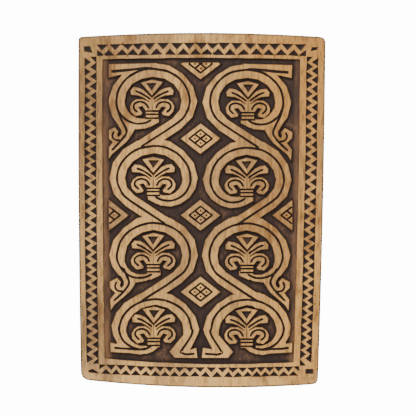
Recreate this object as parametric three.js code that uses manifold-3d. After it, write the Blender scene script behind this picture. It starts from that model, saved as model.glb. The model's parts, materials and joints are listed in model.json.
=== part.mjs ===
// A carved wooden wall panel, cut from one board: two climbing vines with palmettes in their coils,
// lozenges between them, and a chip-cut zigzag border.
// Millimetres. X runs across, Z runs up, the flat back lies on Y = 0 and the carved face looks along -Y.

import * as THREE from 'three';
import { mergeVertices } from 'three/addons/utils/BufferGeometryUtils.js';
import Module from 'manifold-3d';

// The board
const boardHeight = 400;
const boardThickness = 20;
const topWidth = 278.6;
const bottomWidth = 266.6;
const topCentre = 1.6;
const bottomCentre = -1.3;
const topBow = 4.8;
const bottomBow = 6.4;
const bottomCrest = 25;
const sideBow = 1.5;
const cornerRadius = { topLeft: 4, topRight: 7, bottomRight: 7, bottomLeft: 10 };
const arrisRadius = 1.2;

// Depths below the face
const groundDepth = 3.5;
const fanPitDepth = 2.6;
const notchDepth = 2.2;
const grooveDepth = 1.5;
const grooveWidth = 1.8;
const wideGrooveWidth = 2.5;
const fineGrooveWidth = 1.5;
const lineWidth = 1.3;

// The border, on each side: plain margin, zigzag row, plain strip up to the sunk field.
// The hand-set notches drift along their row, by these parts of their pitch at even stations.
const border = {
  left: { margin: 7.1, row: 13.6, strip: 6.8, notches: 34, drift: [0, 0.29, 0.36, -0.12, 0.1, 0.22, 0.04, -0.05, 0] },
  right: { margin: 8.0, row: 13.3, strip: 7.3, notches: 34, drift: [0, 0, 0.13, 0.22, 0.58, 0.6, 0.45, 0.12, -0.25] },
  top: { margin: 11.6, row: 13.3, strip: 3.7, notches: 17, drift: [-0.2, 0, -0.3, 0, 0, -0.2, 0, 0, 0.1] },
  bottom: { margin: 12.2, row: 10.9, strip: 3.6, notches: 20, drift: [0.1, 0.1, 0.1, 0, 0.05, 0.4, 0.35, 0.03, 0] },
};
const borderBow = { top: 0.5, bottom: 0.5 };
const fieldBow = { top: 0.5, bottom: 1 };
const boardBow = { top: 1, bottom: 1 };
const fieldCornerRadius = 0.8;
// A chip's length and half width, by its row's width and pitch; those at the inner rows' ends are cut short
const notchReach = 0.48;
const notchSpread = 0.45;
const rowEndClearance = 1.4;
const endNotch = { clearance: 0.5, share: 0.62 };
// The chip in each corner, from the corner of the zigzag's outer edge
const cornerNotches = {
  topLeft: [[-0.4, -7.4], [8.8, -9.1], [6.1, -1.5], [-0.9, -1.9]],
  topRight: [[-9.2, -7.4], [-2, -5.7], [0.3, -2.5], [-7.4, -2.5]],
  bottomRight: [[-6.7, 1.7], [2.5, 1.7], [2.5, 7.3], [-6.7, 7.3]],
  bottomLeft: [[0.6, 2.9], [2.2, 0.7], [15, -0.4], [6.2, 5.2]],
};

// The carved field lies inside the border, with an open channel around the ornament
const fieldInset = (side) => border[side].margin + border[side].row + border[side].strip;
const topChannel = 5;
const sideChannel = 4.8;
const footChannel = 6.7;
const artTop = boardHeight / 2 - fieldInset('top') - topChannel;
const artBottom = fieldInset('bottom') + footChannel - boardHeight / 2;
const artHalfWidth = (topWidth + bottomWidth) / 4 - (fieldInset('left') + fieldInset('right')) / 2 - sideChannel;

// The vines: eight coils in two mirrored columns
const coilRows = 4;
const firstCoilDrop = 44.3;
const lastCoilRise = 29.7;
const coilPitch = (artTop - artBottom - firstCoilDrop - lastCoilRise) / (coilRows - 1);
const columnSpread = 0.6;
const columnOffset = artHalfWidth / 2 + columnSpread;
const coilDrift = {
  left: [[-1.3, 0.6], [-0.4, 0], [-0.6, -0.4], [1.4, 0]],
  right: [[-0.4, -0.5], [0.3, -1.8], [-1.2, -0.8], [0.2, -0.2]],
};
const tieDrift = {
  left: [[-2.4, 0.5], [-1, -0.2], [-1, 0.2], [-0.5, -0.1]],
  right: [[1, -1.3], [-0.2, -1.4], [0, -0.7], [-0.4, -1.1]],
};
const coilHalfWidth = 41.3;
const coilCrown = 36.6;
const coilFoot = 32.7;
const hookRadius = 25.3;
const hookEnd = 307;
const lastHookEnd = 285;
const stemBreak = -50;
const stemRunIn = 10;
const joinAngle = 69;
const lastHookRise = 5.6;

// Widths of the wood on the outer and the inner side of the coils' middle groove
const crownInner = [9.2, 8.2, 8, 6.3];
const firstCrownOuter = 6.8;
const crownOuter = 9.8;
const ringShoulderBand = { outer: 7.2, inner: 9 };
const stemShoulderBand = { outer: 8.8, inner: 9 };
const sideBand = { outer: 8.8, inner: 9.3 };
const stemBand = { outer: 8.1, inner: 7.6 };
const lastStemShoulderBand = { outer: 8.8, inner: 7.4 };
const lastSideBand = { outer: 8.8, inner: 8.2 };
const hookSideOuter = 7.2;
const hookSideInner = [8.8, 8.8, 6, 7];
const hookOuter = [6, 6, 3.6, 6];
const hookInner = [4.2, 4.2, 2.4, 3.2];

// The palmette hangs in its coil by the middle of its tie
const tieDrop = 14.6;
const lastTieDrop = 10.9;
const tieHalfWidth = 7.2;
const tieTop = 3.6;
const tieMiddle = 0;
const tieBottom = -4.4;
const tieRoot = { above: 0.8, below: 2 };
const tieLineOverrun = 1;

// The lozenges stand midway between the rows
const lozengeHalfWidth = 22.6;
const lozengeHalfHeight = 17.6;
const lozengeLift = 1.7;
const topLozengeDrop = 1.7;
const lozengeLineShare = 0.57;
const lozengeDotRadius = 0.9;

// The slit between the two middle feet
const footGap = { centre: -1.2, width: 4.2 };

// A keyhole slot in the back, near the top, takes a screw head
const keyholeHeight = 150;
const keyholeEntryRadius = 5.2;
const keyholeSlotHalfWidth = 2.4;
const keyholeUndercutHalfWidth = 4.8;
const keyholeTravel = 12;
const keyholeDepth = 11;
const keyholeLip = 4;

const hookSteps = 6;
const overshoot = 1;
const skim = 0.2;
const faceY = -boardThickness;

const wasm = await Module();
wasm.setup();

// Solids from three.js geometry and back
function toSolid(geometry) {
  const bare = geometry.index ? geometry.clone() : mergeVertices(geometry.clone());
  bare.deleteAttribute('normal');
  bare.deleteAttribute('uv');
  const merged = mergeVertices(bare, 1e-4);
  return new wasm.Manifold(new wasm.Mesh({
    numProp: 3,
    vertProperties: new Float32Array(merged.attributes.position.array),
    triVerts: new Uint32Array(merged.index.array),
  }));
}

function toGeometry(solid) {
  const mesh = solid.getMesh();
  const geometry = new THREE.BufferGeometry();
  geometry.setAttribute('position', new THREE.BufferAttribute(new Float32Array(mesh.vertProperties), 3));
  geometry.setIndex(new THREE.BufferAttribute(new Uint32Array(mesh.triVerts), 1));
  geometry.computeVertexNormals();
  return geometry;
}

function unite(solids) {
  return solids.reduce((sum, solid) => sum.add(solid));
}

// A flat outline in X and Z becomes a prism between two depths in Y
function prism(points, nearY, farY) {
  const shape = new THREE.Shape(points.map(([x, z]) => new THREE.Vector2(x, z)));
  const geometry = new THREE.ExtrudeGeometry(shape, { depth: farY - nearY, bevelEnabled: false });
  geometry.rotateX(Math.PI / 2);
  geometry.translate(0, farY, 0);
  return toSolid(geometry);
}

const raised = (points) => prism(points, faceY - 2 * overshoot, faceY + groundDepth + overshoot);
const sunk = (points, depth) => prism(points, faceY - overshoot, faceY + depth);

// Curves
const degrees = Math.PI / 180;
const mix = (from, to, share) => from + (to - from) * share;

function arcPoints(centreX, centreZ, radiusX, radiusZ, fromAngle, toAngle, steps) {
  const points = [];
  for (let i = 0; i <= steps; i++) {
    const angle = mix(fromAngle, toAngle, i / steps) * degrees;
    points.push([centreX + radiusX * Math.cos(angle), centreZ + radiusZ * Math.sin(angle)]);
  }
  return points;
}

const stationed = (points, fromBand, toBand) => points.map(([x, z], i) => {
  const share = i / (points.length - 1);
  return {
    x,
    z,
    outer: mix(fromBand.outer, toBand.outer, share),
    inner: mix(fromBand.inner, toBand.inner, share),
  };
});

// The outline of a band along stations, with its own width on each side
function bandOutline(stations, outerSide) {
  const outerEdge = [];
  const innerEdge = [];
  stations.forEach((station, i) => {
    const before = stations[Math.max(i - 1, 0)];
    const after = stations[Math.min(i + 1, stations.length - 1)];
    const length = Math.hypot(after.x - before.x, after.z - before.z);
    const normalX = outerSide * -(after.z - before.z) / length;
    const normalZ = outerSide * (after.x - before.x) / length;
    outerEdge.push([station.x + normalX * station.outer, station.z + normalZ * station.outer]);
    innerEdge.push([station.x - normalX * station.inner, station.z - normalZ * station.inner]);
  });
  return outerEdge.concat(innerEdge.reverse());
}

// A V-shaped groove along a line, running out to a point at each end
function grooveCut(points, width, depth) {
  const half = width / 2 * (depth + skim) / depth;
  const topY = faceY - skim;
  const positions = [];
  const faces = [];
  const last = points.length - 1;
  positions.push(points[0][0], topY, points[0][1]);
  for (let i = 1; i < last; i++) {
    const [x, z] = points[i];
    const alongX = points[i + 1][0] - points[i - 1][0];
    const alongZ = points[i + 1][1] - points[i - 1][1];
    const length = Math.hypot(alongX, alongZ);
    const sideX = -alongZ / length * half;
    const sideZ = alongX / length * half;
    positions.push(x + sideX, topY, z + sideZ, x - sideX, topY, z - sideZ, x, faceY + depth, z);
  }
  positions.push(points[last][0], topY, points[last][1]);
  const end = positions.length / 3 - 1;
  const sides = [[1, 2], [2, 3], [3, 1]];
  for (const [a, b] of sides) {
    faces.push(0, b, a);
    for (let i = 1; i < last - 1; i++) {
      const here = 3 * (i - 1);
      faces.push(here + a, here + b, here + b + 3, here + a, here + b + 3, here + a + 3);
    }
    faces.push(end, 3 * (last - 2) + a, 3 * (last - 2) + b);
  }
  const geometry = new THREE.BufferGeometry();
  geometry.setAttribute('position', new THREE.Float32BufferAttribute(positions, 3));
  geometry.setIndex(faces);
  return toSolid(geometry);
}

// A straight V-shaped cut with sloping ends
function straightCut(from, to, width) {
  const half = width / 2 * (grooveDepth + skim) / grooveDepth;
  const topY = faceY - skim;
  const length = Math.hypot(to[0] - from[0], to[1] - from[1]);
  const sideX = (from[1] - to[1]) / length * half;
  const sideZ = (to[0] - from[0]) / length * half;
  const endShare = width / length;
  const deepX = [mix(from[0], to[0], endShare), mix(to[0], from[0], endShare)];
  const deepZ = [mix(from[1], to[1], endShare), mix(to[1], from[1], endShare)];
  const geometry = new THREE.BufferGeometry();
  geometry.setAttribute('position', new THREE.Float32BufferAttribute([
    from[0] + sideX, topY, from[1] + sideZ, from[0] - sideX, topY, from[1] - sideZ,
    to[0] - sideX, topY, to[1] - sideZ, to[0] + sideX, topY, to[1] + sideZ,
    deepX[0], faceY + grooveDepth, deepZ[0], deepX[1], faceY + grooveDepth, deepZ[1],
  ], 3));
  geometry.setIndex([0, 1, 2, 0, 2, 3, 0, 4, 1, 2, 5, 3, 1, 4, 5, 1, 5, 2, 3, 5, 4, 3, 4, 0]);
  return toSolid(geometry);
}

// A chip cut out to a point below its middle
function chipCut(points, depth, deepest) {
  const topY = faceY - skim;
  const flare = (depth + skim) / depth;
  const flared = points.map(([x, z]) => [mix(deepest[0], x, flare), mix(deepest[1], z, flare)]);
  const positions = flared.flatMap(([x, z]) => [x, topY, z]).concat([deepest[0], faceY + depth, deepest[1]]);
  const count = points.length;
  const faces = [];
  for (let i = 0; i < count; i++) {
    faces.push((i + 1) % count, i, count);
  }
  for (let i = 1; i < count - 1; i++) {
    faces.push(0, i, i + 1);
  }
  const geometry = new THREE.BufferGeometry();
  geometry.setAttribute('position', new THREE.Float32BufferAttribute(positions, 3));
  geometry.setIndex(signedArea(points) > 0 ? faces : faces.reverse());
  return toSolid(geometry);
}

function signedArea(points) {
  return points.reduce((sum, [x, z], i) => {
    const [nextX, nextZ] = points[(i + 1) % points.length];
    return sum + (x * nextZ - nextX * z) / 2;
  }, 0);
}

// The board's four edges, each with an inset and a share of its bow
const halfHeight = boardHeight / 2;
const upward = (z) => (z + halfHeight) / boardHeight;
const bowAt = (z) => sideBow * (1 - (z / halfHeight) ** 2);
const edge = {
  left: (z, inset) => mix(bottomCentre - bottomWidth / 2, topCentre - topWidth / 2, upward(z)) - bowAt(z) + inset,
  right: (z, inset) => mix(bottomCentre + bottomWidth / 2, topCentre + topWidth / 2, upward(z)) + bowAt(z) - inset,
  top: (x, inset, share) => halfHeight - inset - share * topBow * (2 * x / topWidth) ** 2,
  bottom: (x, inset, share) => -halfHeight + inset
    + share * bottomBow * (2 * (x - bottomCrest) / bottomWidth) ** 2,
};

function frameCorners(insets, bow) {
  const corner = (side, end) => {
    let x = 0;
    let z = 0;
    for (let i = 0; i < 4; i++) {
      z = edge[end](x, insets[end], bow[end]);
      x = edge[side](z, insets[side]);
    }
    return [x, z];
  };
  return {
    topLeft: corner('left', 'top'),
    topRight: corner('right', 'top'),
    bottomRight: corner('right', 'bottom'),
    bottomLeft: corner('left', 'bottom'),
  };
}

function frameOutline(insets, bow, radii, steps) {
  const corners = frameCorners(insets, bow);
  const across = (end, fromX, toX) => Array.from({ length: steps + 1 }, (_, i) => {
    const x = mix(fromX, toX, i / steps);
    return [x, edge[end](x, insets[end], bow[end])];
  });
  const along = (side, fromZ, toZ) => Array.from({ length: steps + 1 }, (_, i) => {
    const z = mix(fromZ, toZ, i / steps);
    return [edge[side](z, insets[side]), z];
  });
  const turn = (from, control, to) => {
    const curve = new THREE.QuadraticBezierCurve(...[from, control, to].map(([x, z]) => new THREE.Vector2(x, z)));
    return curve.getPoints(4).slice(1, -1).map((point) => [point.x, point.y]);
  };
  const { topLeft, topRight, bottomRight, bottomLeft } = corners;
  const top = across('top', topLeft[0] + radii.topLeft, topRight[0] - radii.topRight);
  const right = along('right', topRight[1] - radii.topRight, bottomRight[1] + radii.bottomRight);
  const bottom = across('bottom', bottomRight[0] - radii.bottomRight, bottomLeft[0] + radii.bottomLeft);
  const left = along('left', bottomLeft[1] + radii.bottomLeft, topLeft[1] - radii.topLeft);
  return [
    ...top, ...turn(top.at(-1), topRight, right[0]),
    ...right, ...turn(right.at(-1), bottomRight, bottom[0]),
    ...bottom, ...turn(bottom.at(-1), bottomLeft, left[0]),
    ...left, ...turn(left.at(-1), topLeft, top[0]),
  ];
}

function boardSolid() {
  const outline = frameOutline({ left: 0, right: 0, top: 0, bottom: 0 }, boardBow, cornerRadius, 6);
  const shape = new THREE.Shape(outline.map(([x, z]) => new THREE.Vector2(x, z)));
  const geometry = new THREE.ExtrudeGeometry(shape, {
    depth: boardThickness - 2 * arrisRadius,
    bevelSize: arrisRadius,
    bevelThickness: arrisRadius,
    bevelOffset: -arrisRadius,
    bevelSegments: 1,
  });
  geometry.rotateX(Math.PI / 2);
  geometry.translate(0, -arrisRadius, 0);
  return toSolid(geometry);
}

function fieldOutline() {
  const insets = Object.fromEntries(Object.keys(border).map((side) => [side, fieldInset(side)]));
  const radii = Object.fromEntries(Object.keys(cornerRadius).map((name) => [name, fieldCornerRadius]));
  return frameOutline(insets, fieldBow, radii, 3);
}

// The border's chip cuts: an outer and an inner row on each side, half a pitch apart
function borderCuts() {
  const rowInsets = (offset) => Object.fromEntries(
    Object.entries(border).map(([side, { margin, row }]) => [side, margin + offset * row]),
  );
  const outer = frameCorners(rowInsets(0), borderBow);
  const inner = frameCorners(rowInsets(1), borderBow);
  const cuts = [];
  const ends = {
    left: [inner.topLeft[1] - rowEndClearance, inner.bottomLeft[1] + rowEndClearance],
    right: [inner.topRight[1] - rowEndClearance, inner.bottomRight[1] + rowEndClearance],
    top: [inner.topLeft[0] + rowEndClearance, inner.topRight[0] - rowEndClearance],
    bottom: [inner.bottomLeft[0] + rowEndClearance, inner.bottomRight[0] - rowEndClearance],
  };
  for (const [side, { margin, row, notches, drift }] of Object.entries(border)) {
    const upright = side === 'left' || side === 'right';
    const [start, finish] = ends[side];
    const pitch = (finish - start) / notches;
    const station = (position) => {
      const along = position / notches * (drift.length - 1);
      const before = Math.min(Math.floor(along), drift.length - 2);
      return start + pitch * (position + mix(drift[before], drift[before + 1], along - before));
    };
    const place = (along, inset) => (upright
      ? [edge[side](along, inset), along]
      : [along, edge[side](along, inset, borderBow[side])]);
    const notch = (along, base, reach) => {
      const corners = [
        place(along - notchSpread * pitch, base),
        place(along + notchSpread * pitch, base),
        place(along, base + reach),
      ];
      cuts.push(chipCut(corners, notchDepth, place(along, base + reach / 3)));
    };
    const cornerNotch = (end, away, base, reach) => {
      const corners = [place(end, base), place(end + away, base), place(end, base + reach)];
      cuts.push(chipCut(corners, notchDepth, place(end + away / 3, base + reach / 3)));
    };
    for (let i = 0; i < notches; i++) {
      notch(station(i + 0.5), margin, notchReach * row);
      if (i > 0) {
        notch(station(i), margin + row, -notchReach * row);
      }
    }
    const slack = Math.sign(pitch) * (rowEndClearance - endNotch.clearance);
    cornerNotch(start - slack, endNotch.share * pitch, margin + row, -notchReach * row);
    cornerNotch(finish + slack, -endNotch.share * pitch, margin + row, -notchReach * row);
  }
  for (const [name, offsets] of Object.entries(cornerNotches)) {
    const corners = shifted(offsets, ...outer[name]);
    const middle = [0, 1].map((axis) => corners.reduce((sum, corner) => sum + corner[axis] / corners.length, 0));
    cuts.push(chipCut(corners, notchDepth, middle));
  }
  return cuts;
}

// One coil, drawn about its own centre with the stem leaving on the +X side
function coilPaths(row) {
  const first = row === 0;
  const last = row === coilRows - 1;
  const crown = { outer: first ? firstCrownOuter : crownOuter, inner: crownInner[row] };
  const upperShoulder = { outer: first ? firstCrownOuter : stemShoulderBand.outer, inner: stemShoulderBand.inner };
  const stemShoulder = last ? lastStemShoulderBand : upperShoulder;
  const stemSide = last ? lastSideBand : sideBand;
  const hookCentre = coilHalfWidth - hookRadius;
  const upper = (from, to, steps) => arcPoints(0, 0, coilHalfWidth, coilCrown, from, to, steps);
  const shoulder = { outer: hookSideOuter, inner: hookSideInner[row] };
  const end = { outer: hookOuter[row], inner: hookInner[row] };
  const hooked = (hook) => [
    ...stationed(hook.slice(0, 3), stemSide, shoulder).slice(1),
    ...stationed(hook.slice(2), shoulder, end).slice(1),
  ];
  const stemSideAngle = last ? Math.asin(lastHookRise / coilCrown) / degrees : 0;
  const stem = [
    ...stationed(upper(90, 45, 3), crown, stemShoulder),
    ...stationed(upper(45, stemSideAngle, 3), stemShoulder, stemSide).slice(1),
  ];
  const ring = [
    ...stationed(upper(joinAngle, 90, 1), crown, crown),
    ...stationed(upper(90, 135, 3), crown, ringShoulderBand).slice(1),
    ...stationed(upper(135, 180, 3), ringShoulderBand, sideBand).slice(1),
  ];
  if (last) {
    stem.push(...hooked(arcPoints(hookCentre, lastHookRise, hookRadius, hookRadius, 0, 180 - lastHookEnd, hookSteps)));
    return { stem, ring };
  }
  const side = arcPoints(0, 0, coilHalfWidth, coilFoot, 0, stemBreak, 3);
  const [leaveX, leaveZ] = side.at(-1);
  const [joinX, joinZ] = [-upper(joinAngle, joinAngle, 1)[0][0], upper(joinAngle, joinAngle, 1)[0][1] - coilPitch];
  const run = Math.hypot(joinX - leaveX, joinZ - leaveZ);
  const runIn = [joinX + stemRunIn * (joinX - leaveX) / run, joinZ + stemRunIn * (joinZ - leaveZ) / run];
  stem.push(
    ...stationed(side, sideBand, stemBand).slice(1),
    ...stationed([[leaveX, leaveZ], [joinX, joinZ]], stemBand, stemBand).slice(1),
    { x: runIn[0], z: runIn[1], outer: stemBand.outer / 2, inner: stemBand.inner },
  );
  ring.push(...hooked(arcPoints(-hookCentre, 0, hookRadius, hookRadius, 180, hookEnd, hookSteps)));
  return { stem, ring };
}

// Free carved forms beside the coils, in the coil's own place
const topBar = [[-51.6, 41.9], [5, 43.4], [0, 34.9], [-38.2, 29.4], [-50.7, 26.6]];
const topBarGroove = [[-46.7, 33.3], [-44, 33.6], [-9.5, 36.9], [0, 36.6]];
const spur = [
  [-50, -1], [-45.9, -17.7], [-41, -24.1], [-36.3, -32], [-35.6, -34], [-35.9, -37.6], [-38.8, -40.4],
  [-40.1, -37.8], [-38.8, -34], [-43.1, -28.9], [-51.7, -33.7], [-51.3, -40.8], [-45.6, -46.2],
  [-51, -53.7], [-50.3, -66.3], [-45.9, -59.8], [-29.5, -45.8], [-24.4, -39], [-20.2, -31.1], [-9, -29.5],
];
// Where the spur leaves its ring; this part never shifts
const spurRoot = [[-15.8, -22.5], [-29.5, -19.8], [-38.6, -10], [-41.3, -1]];
const spurGroove = [
  [-40.6, -6], [-37.4, -16.9], [-32.3, -26.8], [-29.8, -32.5], [-30.5, -37.6], [-36.7, -45.5], [-47.4, -56.2],
];
const curlGroove = [[-43.5, -33.2], [-45.6, -38.3], [-44.3, -42.2], [-41, -44], [-36.4, -44]];
// The rows that have a spur, with its shift and the first point of its groove
const spurs = { 0: { shift: [0, 0], grooveStart: 0 }, 2: { shift: [2, 4.2], grooveStart: 1 } };
const hookTail = [[-5.6, -18.8], [-5.6, -29.3], [-3.4, -29], [6.8, -24], [6.8, -18.8]];
const hookTailShift = [[0, 0], [0, 0], [0.9, 1.7]];
const outerFoot = [
  [42, -8], [44, -13.3], [51.2, -11.8], [50.6, -23.3], [9.9, -25.4], [2.8, -22.6], [-5.2, -16.1], [3.5, -14],
  [9, -18.4], [24, -18.2], [35.6, -10.4],
];
const outerFootGroove = [[47, -17.9], [43.5, -18.3], [26.5, -19.5], [12.2, -19.7], [3.5, -15.1]];
const innerFoot = (reach) => [
  [-41.3, 5], [-49.1, 5], [-49.3, 1], [-48.3, -2.5], [-39.6, -19.7], [1.4 - reach, -17.6], [-reach, -29.7],
  [-21.6, -29.7], [-15.5, -22.6], [-31.6, -3.2], [-31.4, 5],
];
const innerFootGroove = (reach) => [
  [-41.3, 3.9], [-41, -3.2], [-29.5, -21.2], [-28.8, -23.2], [-34.6, -25.4], [2.1 - reach, -24.4],
];

// The palmette, drawn about the middle of its tie; leaf and volute are the right-hand ones
const fan = [[-12.9, 35.8], [0, 39.3], [12.6, 36.5], [0, 20.6]];
const fanPit = [[-6.8, 35.4], [5.8, 35.6], [-0.2, 26.1]];
const leaf = [
  [0, 18.4], [8.8, 27.2], [14.4, 30], [20.9, 30.9], [24.5, 26.8], [23.9, 21.8], [15.2, 21.1], [9, 18.4],
  [2.7, 13.6], [0, 12],
];
const leafGroove = [[19.6, 26.6], [12.6, 23.8], [5.4, 19.4], [1.2, 16.2]];
const volute = [
  [0, 16], [2.9, 13.6], [9.7, 17.3], [18, 17.1], [22.8, 13.6], [25.2, 8.6], [24.3, 3], [19, -2.2],
  [12.2, -1], [10.6, 1.4], [15.4, 7.8], [11, 8.8], [tieHalfWidth, tieTop], [0, tieTop - 1],
];
const voluteGroove = [[3.8, 5.9], [7, 11.7], [13.2, 14.1], [19.6, 12], [20.6, 6.6], [15.3, 1.6]];

const shifted = (points, dx, dz) => points.map(([x, z]) => [x + dx, z + dz]);
const mirrored = (points) => points.map(([x, z]) => [-x, z]);

function palmette() {
  const solids = [raised(fan), raised([
    [-tieHalfWidth, tieBottom - tieRoot.below], [tieHalfWidth, tieBottom - tieRoot.below],
    [tieHalfWidth, tieTop + tieRoot.above], [-tieHalfWidth, tieTop + tieRoot.above],
  ])];
  const cuts = [sunk(fanPit, fanPitDepth)];
  for (const side of [1, -1]) {
    const turned = (points) => (side > 0 ? points : mirrored(points));
    const wound = (points) => (side > 0 ? points : mirrored(points).reverse());
    solids.push(raised(wound(leaf)), raised(wound(volute)));
    cuts.push(grooveCut(turned(leafGroove), fineGrooveWidth, grooveDepth));
    cuts.push(grooveCut(turned(voluteGroove), fineGrooveWidth, grooveDepth));
  }
  const lineEnd = tieHalfWidth + tieLineOverrun;
  for (const height of [tieTop, tieMiddle, tieBottom]) {
    cuts.push(straightCut([-lineEnd, height], [lineEnd, height], lineWidth));
  }
  return { solid: unite(solids), cut: unite(cuts) };
}

function lozenge() {
  const rhombus = (share) => [
    [lozengeHalfWidth * share, 0], [0, lozengeHalfHeight * share],
    [-lozengeHalfWidth * share, 0], [0, -lozengeHalfHeight * share],
  ];
  const line = rhombus(lozengeLineShare);
  const cuts = [];
  line.forEach((corner, i) => {
    const next = line[(i + 1) % 4];
    const opposite = line[(i + 2) % 4];
    const far = line[(i + 3) % 4];
    cuts.push(straightCut(corner, next, lineWidth));
    if (i < 2) {
      const middle = [(corner[0] + next[0]) / 2, (corner[1] + next[1]) / 2];
      const across = [(opposite[0] + far[0]) / 2, (opposite[1] + far[1]) / 2];
      cuts.push(straightCut(middle, across, lineWidth));
    }
    const dot = [corner[0] / 2, corner[1] / 2];
    cuts.push(chipCut(arcPoints(...dot, lozengeDotRadius, lozengeDotRadius, 0, 270, 3), grooveDepth, dot));
  });
  return { solid: raised(rhombus(1)), cut: unite(cuts) };
}

// Places one drawn form on the panel; side -1 mirrors it
function placed(form, side, x, z) {
  const transform = (solid) => {
    const facing = side > 0 ? solid : solid.mirror([1, 0, 0]);
    return facing.translate([x, 0, z]);
  };
  return { solid: transform(form.solid), cut: transform(form.cut) };
}

function coil(row, footReach) {
  const { stem, ring } = coilPaths(row);
  const solids = [raised(bandOutline(stem, 1).reverse()), raised(bandOutline(ring, -1))];
  const line = (stations) => stations.map(({ x, z }) => [x, z]);
  const stemLine = row === coilRows - 1 ? line(stem) : line(stem).slice(0, -1);
  const cuts = [grooveCut(stemLine, grooveWidth, grooveDepth), grooveCut(line(ring), grooveWidth, grooveDepth)];
  if (row === 0) {
    solids.push(raised([...topBar].reverse()));
    cuts.push(grooveCut(topBarGroove, wideGrooveWidth, grooveDepth));
  }
  if (spurs[row]) {
    const { shift, grooveStart } = spurs[row];
    solids.push(raised([...shifted(spur, ...shift), ...spurRoot]));
    cuts.push(grooveCut(shifted(spurGroove.slice(grooveStart), ...shift), grooveWidth, grooveDepth));
    cuts.push(grooveCut(shifted(curlGroove, ...shift), fineGrooveWidth, grooveDepth));
  }
  if (row < coilRows - 1) {
    solids.push(raised(shifted(hookTail, ...hookTailShift[row])));
  } else {
    solids.push(raised([...outerFoot].reverse()), raised(innerFoot(footReach)));
    cuts.push(grooveCut(outerFootGroove, grooveWidth, grooveDepth));
    cuts.push(grooveCut(innerFootGroove(footReach), grooveWidth, grooveDepth));
  }
  return { solid: unite(solids), cut: unite(cuts) };
}

function keyhole() {
  const obround = (halfWidth) => [
    ...arcPoints(0, keyholeHeight, halfWidth, halfWidth, 180, 360, 6),
    ...arcPoints(0, keyholeHeight + keyholeTravel, halfWidth, halfWidth, 0, 180, 6),
  ];
  const entry = arcPoints(0, keyholeHeight, keyholeEntryRadius, keyholeEntryRadius, 0, 337.5, 15);
  return unite([
    prism(entry, -keyholeDepth, overshoot),
    prism(obround(keyholeSlotHalfWidth), -keyholeDepth, overshoot),
    prism(obround(keyholeUndercutHalfWidth), -keyholeDepth, -keyholeLip),
  ]);
}

function carvedBoard() {
  const reliefs = [];
  const cuts = [];
  const place = (form, side, x, z) => {
    const { solid, cut } = placed(form, side, x, z);
    reliefs.push(solid);
    cuts.push(cut);
  };
  const flower = palmette();
  const diamond = lozenge();
  const rowHeight = (row) => artTop - firstCoilDrop - row * coilPitch;
  const drop = (row) => (row === coilRows - 1 ? lastTieDrop : tieDrop);
  for (let row = 0; row < coilRows; row++) {
    for (const [name, column] of [['left', -1], ['right', 1]]) {
      const [driftX, driftZ] = coilDrift[name][row];
      const x = column * columnOffset + driftX;
      const z = rowHeight(row) + driftZ;
      const footReach = Math.abs(x - footGap.centre) - footGap.width / 2;
      const stemSide = row % 2 === 0 ? -column : column;
      place(coil(row, footReach), stemSide, x, z);
      const [tieX, tieZ] = tieDrift[name][row];
      place(flower, stemSide, column * columnOffset + tieX, rowHeight(row) - drop(row) + tieZ);
    }
    if (row < coilRows - 1) {
      place(diamond, 1, 0, rowHeight(row) - coilPitch / 2 + lozengeLift);
    }
  }
  place(diamond, 1, 0, artTop - topLozengeDrop);
  for (const side of [-1, 1]) {
    place(diamond, 1, side * artHalfWidth, rowHeight(1) - coilPitch / 2 + lozengeLift);
  }
  const artwork = [[-artHalfWidth, artBottom], [artHalfWidth, artBottom], [artHalfWidth, artTop], [-artHalfWidth, artTop]];
  const relief = unite(reliefs).intersect(prism(artwork, faceY - 3 * overshoot, faceY + groundDepth + 2 * overshoot));
  const lines = unite(cuts).intersect(prism(artwork, faceY - overshoot, faceY + groundDepth));
  const field = sunk(fieldOutline(), groundDepth);
  return boardSolid()
    .subtract(field.subtract(relief))
    .subtract(lines)
    .subtract(unite(borderCuts()))
    .subtract(keyhole());
}

const wood = new THREE.MeshStandardMaterial({ color: 0xc49a68, roughness: 0.62, metalness: 0 });
const board = new THREE.Mesh(toGeometry(carvedBoard()), wood);
board.name = 'carved_board';

const panelGroup = new THREE.Group();
panelGroup.add(board);

export default panelGroup;
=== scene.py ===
"""A carved wooden wall panel: two climbing vines with palmettes in their coils, lozenges between
them and a chip-cut zigzag border. The raised wood is bare and the sunk ground is stained dark."""
import json
import math

import bmesh
import bpy
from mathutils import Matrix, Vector, kdtree, noise

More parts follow.
